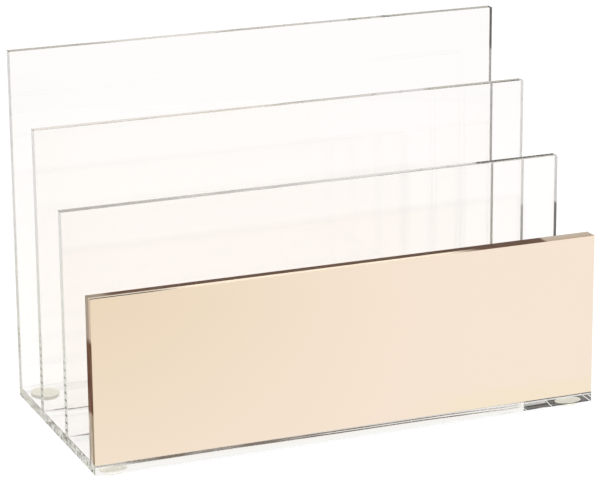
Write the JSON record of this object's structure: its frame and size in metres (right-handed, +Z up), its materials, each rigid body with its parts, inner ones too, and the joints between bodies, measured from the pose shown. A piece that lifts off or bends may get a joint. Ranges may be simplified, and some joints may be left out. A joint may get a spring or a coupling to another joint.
{
  "type": "letter sorter",
  "caption": "Stepped desktop letter sorter: clear acrylic panels upright on a clear base plate, with open-ended slots between them and a rose-gold mirror sheet across the low front.",
  "frame": {"origin": "on the table, under the middle of the base plate", "axes": "+X along the panels to the right as seen from the front, -Y towards the front, +Z up"},
  "size_m": [0.241, 0.113, 0.1669],
  "materials": {
    "clear_acrylic": "clear, polished faces and edges",
    "rose_gold_mirror": "pale rose-gold mirrored acrylic, polished",
    "bumper": "translucent soft bumper, satin"
  },
  "bodies": {
    "root": {"base_plate": "clear_acrylic", "rear_panel": "clear_acrylic", "rear_divider": "clear_acrylic", "front_divider": "clear_acrylic", "front_panel": "clear_acrylic", "mirror_facing": "rose_gold_mirror", "foot_front_left": "bumper", "foot_front_right": "bumper", "foot_rear_left": "bumper", "foot_rear_right": "bumper"}
  },
  "joints": []
}
